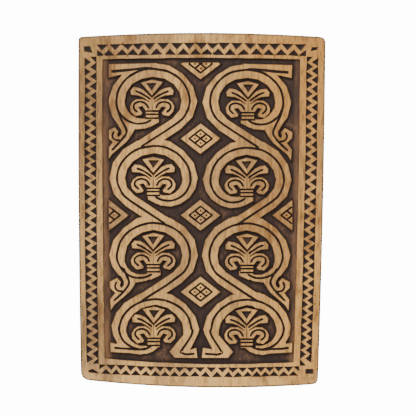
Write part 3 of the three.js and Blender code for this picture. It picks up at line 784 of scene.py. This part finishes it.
def lozenge(carving):
    def rhombus(share):
        width = LOZENGE_HALF_WIDTH * share
        height = LOZENGE_HALF_HEIGHT * share
        return [(width, 0), (0, height), (-width, 0), (0, -height)]

    carving.raise_form("lozenge", rhombus(1))
    line = rhombus(LOZENGE_LINE_SHARE)
    for i, corner in enumerate(line):
        after = line[(i + 1) % 4]
        start = between(corner, after, -LOZENGE_LINE_OVERRUN)
        end = between(corner, after, 1 + LOZENGE_LINE_OVERRUN)
        carving.straight("lozenge_line", start, end, LINE_WIDTH)
        carving.dot("lozenge_dot", corner[0] / 2, corner[1] / 2, LOZENGE_DOT_RADIUS)
        if i < 2:
            opposite = line[(i + 2) % 4]
            far = line[(i + 3) % 4]
            middle = ((corner[0] + after[0]) / 2, (corner[1] + after[1]) / 2)
            across = ((opposite[0] + far[0]) / 2, (opposite[1] + far[1]) / 2)
            carving.straight("lozenge_cross", middle, across, LINE_WIDTH)


def coil(carving, row, foot_reach):
    """A coil's stem and ring, and what grows beside them in its row."""
    stem, ring = coil_paths(row)
    carving.raise_form("stem", band_outline(stem, 1))
    carving.raise_form("ring", band_outline(ring, -1))
    stem_line = [(x, z) for x, z, _, _ in stem]
    carving.groove("stem_line", stem_line if row == COIL_ROWS - 1 else stem_line[:-1], GROOVE_WIDTH)
    carving.groove("ring_line", [(x, z) for x, z, _, _ in ring], GROOVE_WIDTH)
    if row == 0:
        carving.raise_form("top_bar", TOP_BAR)
        carving.groove("top_bar_line", TOP_BAR_GROOVE, WIDE_GROOVE_WIDTH)
    if row in SPURS:
        dx, dz, groove_start = SPURS[row]
        carving.raise_form("spur", shifted(SPUR, dx, dz) + SPUR_ROOT)
        carving.groove("spur_line", shifted(SPUR_GROOVE[groove_start:], dx, dz), GROOVE_WIDTH)
        carving.groove("curl_line", shifted(CURL_GROOVE, dx, dz), FINE_GROOVE_WIDTH)
    if row < COIL_ROWS - 1:
        carving.raise_form("hook_tail", shifted(HOOK_TAIL, *HOOK_TAIL_SHIFT[row]))
    else:
        carving.raise_form("outer_foot", OUTER_FOOT)
        carving.raise_form("inner_foot", inner_foot(foot_reach))
        carving.groove("outer_foot_line", OUTER_FOOT_GROOVE, GROOVE_WIDTH)
        carving.groove("inner_foot_line", inner_foot_groove(foot_reach), GROOVE_WIDTH)


def chip(bm, corners, depth, deepest):
    """A chip taken out to a point below the face."""
    flare = (depth + SKIM) / depth
    rim = [(mix(deepest[0], x, flare), -THICKNESS - SKIM, mix(deepest[1], z, flare)) for x, z in corners]
    face = bm.faces.new([bm.verts.new(Vector(point) * MM) for point in rim])
    face.material_index = GROOVE
    sunk = bmesh.ops.extrude_face_region(bm, geom=[face])
    points = [item for item in sunk["geom"] if isinstance(item, bmesh.types.BMVert)]
    bottom = Vector((deepest[0], -THICKNESS + depth, deepest[1])) * MM
    bmesh.ops.pointmerge(bm, verts=points, merge_co=bottom)


def border_chips(collection):
    """The zigzag: an outer and an inner row of chips on each side, half a pitch apart."""
    outer = frame_corners({side: sizes["margin"] for side, sizes in BORDER.items()}, BORDER_BOW)
    depths = {side: sizes["margin"] + sizes["row"] for side, sizes in BORDER.items()}
    inner = frame_corners(depths, BORDER_BOW)
    gap = ROW_END_CLEARANCE
    ends = {
        "left": (inner["top_left"][1] - gap, inner["bottom_left"][1] + gap),
        "right": (inner["top_right"][1] - gap, inner["bottom_right"][1] + gap),
        "top": (inner["top_left"][0] + gap, inner["top_right"][0] - gap),
        "bottom": (inner["bottom_left"][0] + gap, inner["bottom_right"][0] - gap),
    }
    bm = bmesh.new()
    for side, sizes in BORDER.items():
        start, finish = ends[side]
        pitch = (finish - start) / sizes["notches"]
        drift = NOTCH_DRIFT[side]

        def station(position):
            along = position / sizes["notches"] * (len(drift) - 1)
            before = min(int(along), len(drift) - 2)
            return start + pitch * (position + mix(drift[before], drift[before + 1], along - before))

        def place(along, inset):
            if side in ("left", "right"):
                return edge_x(side, along, inset), along
            return along, edge_z(side, along, inset, BORDER_BOW[side])

        def notch(along, base, reach):
            corners = [
                place(along - NOTCH_SPREAD * pitch, base),
                place(along + NOTCH_SPREAD * pitch, base),
                place(along, base + reach),
            ]
            corners = [wandered(x, z, NOTCH_WANDER, NOTCH_WANDER_SCALE) for x, z in corners]
            chip(bm, corners, NOTCH_DEPTH, place(along, base + reach / 3))

        def end_notch(end, away, base, reach):
            corners = [place(end, base), place(end + away, base), place(end, base + reach)]
            chip(bm, corners, NOTCH_DEPTH, place(end + away / 3, base + reach / 3))

        base = depths[side]
        reach = NOTCH_REACH * sizes["row"]
        for i in range(sizes["notches"]):
            notch(station(i + 0.5), sizes["margin"], reach)
            if i > 0:
                notch(station(i), base, -reach)
        slack = math.copysign(gap - END_NOTCH["clearance"], pitch)
        end_notch(start - slack, END_NOTCH["share"] * pitch, base, -reach)
        end_notch(finish + slack, -END_NOTCH["share"] * pitch, base, -reach)
    for name, offsets in CORNER_NOTCHES.items():
        corners = shifted(offsets, *outer[name])
        chip(bm, corners, NOTCH_DEPTH, [sum(places) / 4 for places in zip(*corners)])
    return finished(bm, "border_chips", collection, GROOVE)


def keyhole(collection):
    """The slot in the back that drops over a screw head."""
    def obround(half):
        return (arc(0, KEYHOLE_HEIGHT, half, half, 180, 360, 12)
                + arc(0, KEYHOLE_HEIGHT + KEYHOLE_TRAVEL, half, half, 0, 180, 12))

    entry = arc(0, KEYHOLE_HEIGHT, KEYHOLE_ENTRY, KEYHOLE_ENTRY, 0, 345, 23)
    through = ((KEYHOLE_FLOOR, 0), (PAST_BACK, 0))
    inside = ((KEYHOLE_FLOOR, 0), (KEYHOLE_LIPS, 0))
    slab(entry, through, "keyhole_entry", collection, BACK)
    slab(obround(KEYHOLE_SLOT), through, "keyhole_slot", collection, BACK)
    slab(obround(KEYHOLE_UNDERCUT), inside, "keyhole_undercut", collection, BACK)


def carved_panel(collection, reliefs, lines):
    """Lays out the whole carving and cuts it from the board."""
    carving = Carving(reliefs, lines)
    for row in range(COIL_ROWS):
        height = ART_TOP - FIRST_COIL_DROP - row * COIL_PITCH
        drop = LAST_TIE_DROP if row == COIL_ROWS - 1 else TIE_DROP
        for name, column in (("left", -1), ("right", 1)):
            drift_x, drift_z = COIL_DRIFT[name][row]
            x = column * COLUMN_OFFSET + drift_x
            foot_reach = abs(x - FOOT_GAP_CENTRE) - FOOT_GAP / 2
            stem_side = -column if row % 2 == 0 else column
            carving.place = (stem_side, x, height + drift_z)
            coil(carving, row, foot_reach)
            tie_x, tie_z = TIE_DRIFT[name][row]
            carving.place = (stem_side, column * COLUMN_OFFSET + tie_x, height - drop + tie_z)
            palmette(carving)
        if row < COIL_ROWS - 1:
            carving.place = (1, 0, height - COIL_PITCH / 2 + LOZENGE_LIFT)
            lozenge(carving)
    carving.place = (1, 0, ART_TOP - TOP_LOZENGE_DROP)
    lozenge(carving)
    beside = ART_TOP - FIRST_COIL_DROP - 1.5 * COIL_PITCH + LOZENGE_LIFT
    for side in (-1, 1):
        carving.place = (1, side * ART_HALF_WIDTH, beside)
        lozenge(carving)
    ground = ground_cutter(collection)
    cut(ground, joined(reliefs))
    panel = board_blank(collection)
    cut(panel, ground)
    cut(panel, joined(lines))
    cut(panel, border_chips(collection))
    return panel


def srgb(red, green, blue):
    """A display colour, 0 to 255, as the linear colour the shader wants."""
    channels = []
    for value in (red, green, blue):
        value /= 255
        channels.append(value / 12.92 if value <= 0.04045 else ((value + 0.055) / 1.055) ** 2.4)
    return (*channels, 1)


class Look:
    """A node material on Object coordinates, built up step by step."""

    def __init__(self, name):
        self.material = bpy.data.materials.new(name)
        self.material.use_nodes = True
        self.tree = self.material.node_tree
        self.place = self.node("TexCoord").outputs["Object"]

    def feed(self, socket, value):
        """Sets a number or a colour, or links what another node gives."""
        if isinstance(value, (int, float, tuple)):
            socket.default_value = value
        else:
            self.tree.links.new(value, socket)

    def node(self, kind, **inputs):
        node = self.tree.nodes.new("ShaderNode" + kind)
        for name, value in inputs.items():
            self.feed(node.inputs[name.replace("_", " ")], value)
        return node

    def stretched(self, up, across=1, shift=(0, 0, 0)):
        """Object coordinates scaled upwards and across, then shifted."""
        scale = (across, 1, up)
        return self.node("Mapping", Vector=self.place, Scale=scale, Location=shift).outputs["Vector"]

    def cloud(self, place, scale, detail=3, roughness=0.5, distortion=0):
        """Soft noise, about 0.5 in the middle."""
        node = self.node("TexNoise", Vector=place, Scale=scale, Detail=detail,
                         Roughness=roughness, Distortion=distortion)
        return node.outputs["Fac"]

    def ramp(self, value, low, high, to_low=0, to_high=1):
        """Carries a value smoothly from one range to another."""
        node = self.node("MapRange", Value=value, From_Min=low, From_Max=high,
                         To_Min=to_low, To_Max=to_high)
        node.interpolation_type = "SMOOTHSTEP"
        return node.outputs["Result"]

    def math(self, operation, first, second):
        node = self.node("Math")
        node.operation = operation
        self.feed(node.inputs[0], first)
        self.feed(node.inputs[1], second)
        return node.outputs["Value"]

    def blend(self, share, first, second, mode="MIX"):
        """Mixes two colours by a share that may be a number."""
        node = self.node("Mix")
        node.data_type = "RGBA"
        node.blend_type = mode
        for index, value in ((0, share), (6, first), (7, second)):
            self.feed(node.inputs[index], value)
        return node.outputs[2]

    def axis(self, name):
        """One Object coordinate, in metres."""
        return self.node("SeparateXYZ", Vector=self.place).outputs[name]

    def attribute(self, name):
        """A value stored at the piece's own points."""
        node = self.node("Attribute")
        node.attribute_name = name
        return node.outputs["Fac"]

    def bump(self, height, distance, strength, below=None):
        """A fine relief, laid over the one below where there is one."""
        node = self.node("Bump", Height=height, Distance=distance, Strength=strength)
        if below:
            self.feed(node.inputs["Normal"], below)
        return node.outputs["Normal"]

    def finish(self, colour, roughness, normal):
        sockets = self.tree.nodes["Principled BSDF"].inputs
        self.feed(sockets["Base Color"], colour)
        self.feed(sockets["Roughness"], roughness)
        self.feed(sockets["Normal"], normal)
        sockets["Specular IOR Level"].default_value = 0.2
        return self.material


def wood_colour(look, light, middle, tan, brown):
    """Wood with its grain upright: broad tone, blotches, streaks, fibres and gleam."""
    broad = look.cloud(look.stretched(0.5), 16, 3)
    colour = look.blend(look.ramp(broad, 0.42, 0.6), light, middle)
    blotch = look.cloud(look.stretched(0.45, shift=(-0.04, 0, 0.016)), 34, 4, 0.65)
    colour = look.blend(look.ramp(blotch, 0.52, 0.68, 0, 0.85), colour, tan)
    streak = look.cloud(look.stretched(0.1), 190, 5, 0.65, 0.6)
    colour = look.blend(look.ramp(streak, 0.46, 0.7, 0, 0.5), colour, brown)
    fibre = look.cloud(look.stretched(0.2), 460, 4, 0.7)
    colour = look.blend(look.ramp(fibre, 0.47, 0.66, 0, 0.6), colour, brown)
    gleam = look.cloud(look.stretched(0.15), 330, 3, 0.6)
    colour = look.blend(look.ramp(gleam, 0.54, 0.68, 0, 0.65), colour, light)
    return colour, streak, fibre


def wood_bump(look, streak, fibre):
    dents = look.cloud(look.stretched(0.6), 90, 2)
    normal = look.bump(dents, 0.0004, 0.6)
    normal = look.bump(streak, 0.0003, 0.6, normal)
    return look.bump(fibre, 0.00012, 0.7, normal)


# Light, middle, tan and brown wood of the face, the rounded arris, the sides and the back; the arris tones
# hold painted shade
FACE_TONES = (srgb(246, 190, 112), srgb(202, 155, 98), srgb(162, 112, 62), srgb(124, 88, 54))
# Painted shade: the arris is darker than the sides so that it stays dark where it turns to the light
SHADED_ARRIS_TONES = (srgb(92, 68, 46), srgb(76, 56, 39), srgb(66, 48, 34), srgb(52, 38, 29))
SIDE_TONES = (srgb(128, 95, 62), srgb(104, 77, 52), srgb(94, 68, 46), srgb(76, 56, 40))
BACK_TONES = (srgb(206, 160, 98), srgb(176, 136, 86), srgb(150, 110, 68), srgb(126, 94, 62))
# Painted light: paler wood in patches at the foot of the face
FOOT_LIGHT_WOOD = srgb(255, 200, 118)
FRINGE_BROWN = srgb(118, 86, 58)
SAWN_WOOD = srgb(140, 106, 72)
# The darker colour along the face's rim
RIM_DARK_WOOD = srgb(104, 78, 54)
STAIN = srgb(52, 39, 35)
STAIN_LIGHT = srgb(82, 60, 48)
STAIN_THIN = srgb(124, 90, 66)
STAIN_RED = srgb(146, 105, 73)
GROOVE_STAIN = srgb(46, 34, 31)
GROOVE_STAIN_LIGHT = srgb(70, 53, 44)
# Painted shade across the face, partly the wood's own tone: down its left, in its upper corners, above the
# foot and on its right
LEFT_SHADE_TINT = (0.81, 0.83, 0.91, 1)
UPPER_LEFT_SHADE_TINT = (0.82, 0.78, 0.71, 1)
UPPER_RIGHT_SHADE_TINT = (0.84, 0.78, 0.7, 1)
BODY_SHADE_TINT = (0.9, 0.89, 0.86, 1)
RIGHT_SHADE_TINT = (0.97, 0.89, 0.76, 1)
# The brown at the top of a cut reaches down to this depth, in metres
GROUND_FRINGE = 0.0019
GROOVE_FRINGE = 0.00035


def bare_wood():
    """The face: painted shade from side to side and painted light at its foot, partly the wood's own tone,
    and darker along its rim.
    """
    look = Look("bare_wood")
    across = look.axis("X")
    up = look.axis("Z")
    right = look.ramp(across, 0, 0.11)
    upper_left = look.math("MULTIPLY", look.ramp(across, -0.07, -0.12), look.ramp(up, 0, 0.12))
    upper_right = look.math("MULTIPLY", right, look.ramp(up, 0.02, 0.13))
    colour, streak, fibre = wood_colour(look, *FACE_TONES)
    # Painted shade multiplied over the face by side and height, partly the wood's own tone
    for share, tint in (
        (look.ramp(across, -0.092, -0.112), LEFT_SHADE_TINT),
        (upper_left, UPPER_LEFT_SHADE_TINT),
        (look.ramp(up, -0.18, -0.13), BODY_SHADE_TINT),
        (right, RIGHT_SHADE_TINT),
        (upper_right, UPPER_RIGHT_SHADE_TINT),
    ):
        colour = look.blend(share, colour, tint, "MULTIPLY")
    patch = look.cloud(look.stretched(0.6), 70, 3, 0.6)
    # Painted light: paler patches at the foot, so the bottom reads brighter
    foot = look.ramp(up, -0.172, -0.188)
    pale = look.math("MULTIPLY", foot, look.ramp(patch, 0.4, 0.6, 0, 0.6))
    colour = look.blend(pale, colour, FOOT_LIGHT_WOOD)
    # The face darkens in patches towards its rim
    rim_patches = look.ramp(patch, 0.3, 0.65, 0.5, 0.9)
    rim_dark = look.math("MULTIPLY", look.attribute("near_rim"), rim_patches)
    colour = look.blend(rim_dark, colour, RIM_DARK_WOOD)
    roughness = look.ramp(streak, 0.3, 0.7, 0.55, 0.7)
    return look.finish(colour, roughness, wood_bump(look, streak, fibre))


def brown_fringed(look, colour, deep):
    """Brown wood colour at the top of a cut, giving way to the stain deeper down."""
    depth = look.math("ADD", look.axis("Y"), -FACE_Y)
    uneven = look.ramp(look.cloud(look.place, 150, 3, 0.6), 0.3, 0.7, -0.4 * deep, 0.4 * deep)
    stained = look.ramp(look.math("ADD", depth, uneven), 0.2 * deep, deep)
    return look.blend(stained, FRINGE_BROWN, colour)


def stained_ground():
    """The sunk floor and its walls: dark stain with painted shade beside the walls, thinner in the open and
    worn at the sides.
    """
    look = Look("stained_ground")
    patch = look.cloud(look.stretched(0.5), 45, 4, 0.65)
    stroke = look.cloud(look.stretched(0.5), 230, 4, 0.65, 1.5)
    thin = look.blend(look.ramp(stroke, 0.42, 0.62), STAIN_LIGHT, STAIN_THIN)
    laid = look.ramp(patch, 0.42, 0.64, 0.12, 0.9)
    # Painted shade: the full dark stain stays beside the walls and thins away from them
    colour = look.blend(look.math("MULTIPLY", look.attribute("clear_of_wall_shade"), laid), STAIN, thin)
    worn = look.ramp(look.cloud(look.stretched(0.2), 130, 4, 0.7), 0.36, 0.6, 0.3, 1)
    colour = look.blend(look.math("MULTIPLY", look.attribute("worn"), worn), colour, STAIN_RED)
    colour = brown_fringed(look, colour, GROUND_FRINGE)
    normal = look.bump(stroke, 0.0004, 0.6)
    grit = look.cloud(look.place, 1400, 3, 0.6)
    normal = look.bump(grit, 0.00015, 0.6, normal)
    return look.finish(colour, look.ramp(patch, 0.3, 0.7, 0.6, 0.75), normal)


def stained_groove():
    look = Look("stained_groove")
    tone = look.cloud(look.place, 220, 3, 0.6)
    colour = look.blend(look.ramp(tone, 0.4, 0.75, 0, 0.8), GROOVE_STAIN, GROOVE_STAIN_LIGHT)
    colour = brown_fringed(look, colour, GROOVE_FRINGE)
    normal = look.bump(look.cloud(look.stretched(0.3), 900, 3), 0.0001, 0.5)
    return look.finish(colour, look.ramp(tone, 0.3, 0.7, 0.6, 0.75), normal)


def edge_wood(name, tones):
    """The rounded arris or the board's sides in darker wood; on the arris the extra darkness is painted
    shade.
    """
    look = Look(name)
    colour, streak, fibre = wood_colour(look, *tones)
    soil = look.cloud(look.place, 60, 4, 0.6)
    colour = look.blend(look.ramp(soil, 0.45, 0.75, 0, 0.6), colour, tones[-1])
    return look.finish(colour, look.ramp(soil, 0.3, 0.7, 0.6, 0.75), wood_bump(look, streak, fibre))


def back_wood():
    look = Look("back_wood")
    colour, streak, fibre = wood_colour(look, *BACK_TONES)
    saw = look.cloud(look.stretched(1, 0.05), 420, 2)
    colour = look.blend(look.ramp(saw, 0.5, 0.7, 0, 0.25), colour, SAWN_WOOD)
    normal = look.bump(saw, 0.0002, 0.6, wood_bump(look, streak, fibre))
    return look.finish(colour, look.ramp(streak, 0.3, 0.7, 0.65, 0.8), normal)


def wall_tree(mesh):
    """Points along the worn arris of every wall, to measure from."""
    places = []
    for edge in mesh.edges:
        ends = [mesh.vertices[index].co / MM for index in edge.vertices]
        if all(ARRIS_DEPTHS[0] < THICKNESS + end.y < ARRIS_DEPTHS[1] for end in ends):
            steps = max(int((ends[1] - ends[0]).length), 1)
            places += [mix(ends[0], ends[1], i / steps) for i in range(steps)]
    tree = kdtree.KDTree(len(places))
    for i, place in enumerate(places):
        tree.insert((place.x, 0, place.z), i)
    tree.balance()
    return tree


def mark_wear(mesh):
    """Stores at each point how far the stain is worn, and how far it is clear of the painted shade beside
    the walls.
    """
    walls = wall_tree(mesh)
    wear = mesh.attributes.new("worn", "FLOAT", "POINT").data
    opening = mesh.attributes.new("clear_of_wall_shade", "FLOAT", "POINT").data
    for vert, worn, opened in zip(mesh.vertices, wear, opening):
        x, _, z = vert.co / MM
        up = min(max((z - WEAR_LOW) / (WEAR_HIGH - WEAR_LOW), 0), 1)
        for side, (foot, top) in CHANNEL_WEAR.items():
            worn.value += mix(foot, top, up) * channel_nearness(side, x, z) ** WEAR_FALL
        # The distance from the walls sets where their painted shade gives way
        gap = walls.find((x, 0, z))[2]
        opened.value = min(max((gap - OPEN_FROM) / (OPEN_TO - OPEN_FROM), 0), 1)


def mark_rim(mesh):
    """Stores 1 along the rounded arris, for a darkening that fades out across the face."""
    near_rim = mesh.attributes.new("near_rim", "FLOAT", "POINT").data
    for polygon in mesh.polygons:
        if polygon.material_index == ARRIS_WOOD:
            for index in polygon.vertices:
                near_rim[index].value = 1


def dress(panel):
    """Gives the board its materials: each cut its own, the rest by which way a face points."""
    mesh = panel.data
    # The arris's material carries painted shade; the sides are only darker wood
    arris = edge_wood("shaded_arris_wood", SHADED_ARRIS_TONES)
    side = edge_wood("side_wood", SIDE_TONES)
    woods = (bare_wood(), stained_ground(), stained_groove(), arris, side, back_wood())
    for i, material in enumerate(woods):
        mesh.materials[i] = material
    for polygon in mesh.polygons:
        if polygon.material_index == WOOD:
            if polygon.normal.y > 0.99:
                polygon.material_index = BACK
            elif polygon.normal.y > -0.1:
                polygon.material_index = SIDE_WOOD
            elif polygon.normal.y > -0.99:
                polygon.material_index = ARRIS_WOOD
    mark_wear(mesh)
    mark_rim(mesh)
    mesh.update()


def new_collection(name):
    collection = bpy.data.collections.new(name)
    shown.children.link(collection)
    return collection


# The room's even light, the white behind the panel, the lamp, and the floor far below
ROOM_LIGHT = 0.96
BACKDROP = 14
LAMP_POWER = 14
LAMP_SIZE = 0.8
LAMP_PLACE = (-0.7, -1.1, 1.0)
FLOOR_DROP = 1.3
FLOOR_TONES = ((0.86, 0.86, 0.86, 1), (0.9, 0.9, 0.9, 1))


def studio():
    """A white room's soft light, and a pale floor well below the panel."""
    world = bpy.data.worlds.new("studio")
    world.use_nodes = True
    nodes = world.node_tree.nodes
    soft = nodes["Background"]
    backdrop = nodes.new("ShaderNodeBackground")
    for light, strength in ((soft, ROOM_LIGHT), (backdrop, BACKDROP)):
        light.inputs["Color"].default_value = (1, 1, 1, 1)
        light.inputs["Strength"].default_value = strength
    seen = nodes.new("ShaderNodeLightPath")
    either = nodes.new("ShaderNodeMixShader")
    world.node_tree.links.new(seen.outputs["Is Camera Ray"], either.inputs[0])
    world.node_tree.links.new(soft.outputs[0], either.inputs[1])
    world.node_tree.links.new(backdrop.outputs[0], either.inputs[2])
    world.node_tree.links.new(either.outputs[0], nodes["World Output"].inputs["Surface"])
    bpy.context.scene.world = world
    key = bpy.data.lights.new("key", "AREA")
    key.size = LAMP_SIZE
    key.energy = LAMP_POWER
    lamp = bpy.data.objects.new("key", key)
    lamp.location = LAMP_PLACE
    lamp.rotation_euler = (-Vector(LAMP_PLACE)).to_track_quat("-Z", "Y").to_euler()
    shown.objects.link(lamp)
    bm = bmesh.new()
    bmesh.ops.create_grid(bm, x_segments=1, y_segments=1, size=2)
    bmesh.ops.translate(bm, verts=bm.verts, vec=(0, 0, -FLOOR_DROP))
    mesh = bpy.data.meshes.new("floor")
    bm.to_mesh(mesh)
    bm.free()
    floor = bpy.data.objects.new("floor", mesh)
    look = Look("floor_paint")
    tone = look.cloud(look.place, 2, 2)
    colour = look.blend(look.ramp(tone, 0.3, 0.7), *FLOOR_TONES)
    roughness = look.ramp(tone, 0, 1, 0.7, 0.8)
    mesh.materials.append(look.finish(colour, roughness, look.bump(tone, 0.0001, 0.1)))
    shown.objects.link(floor)


work = new_collection("work")
relief_forms = new_collection("reliefs")
cut_lines = new_collection("lines")
keyhole(cut_lines)
panel = carved_panel(work, relief_forms, cut_lines)
dress(panel)
work.objects.unlink(panel)
shown.objects.link(panel)
for collection in (work, relief_forms, cut_lines):
    for piece in list(collection.objects):
        bpy.data.objects.remove(piece)
    bpy.data.collections.remove(collection)
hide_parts("carved_board")
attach(panel, "root")
studio()
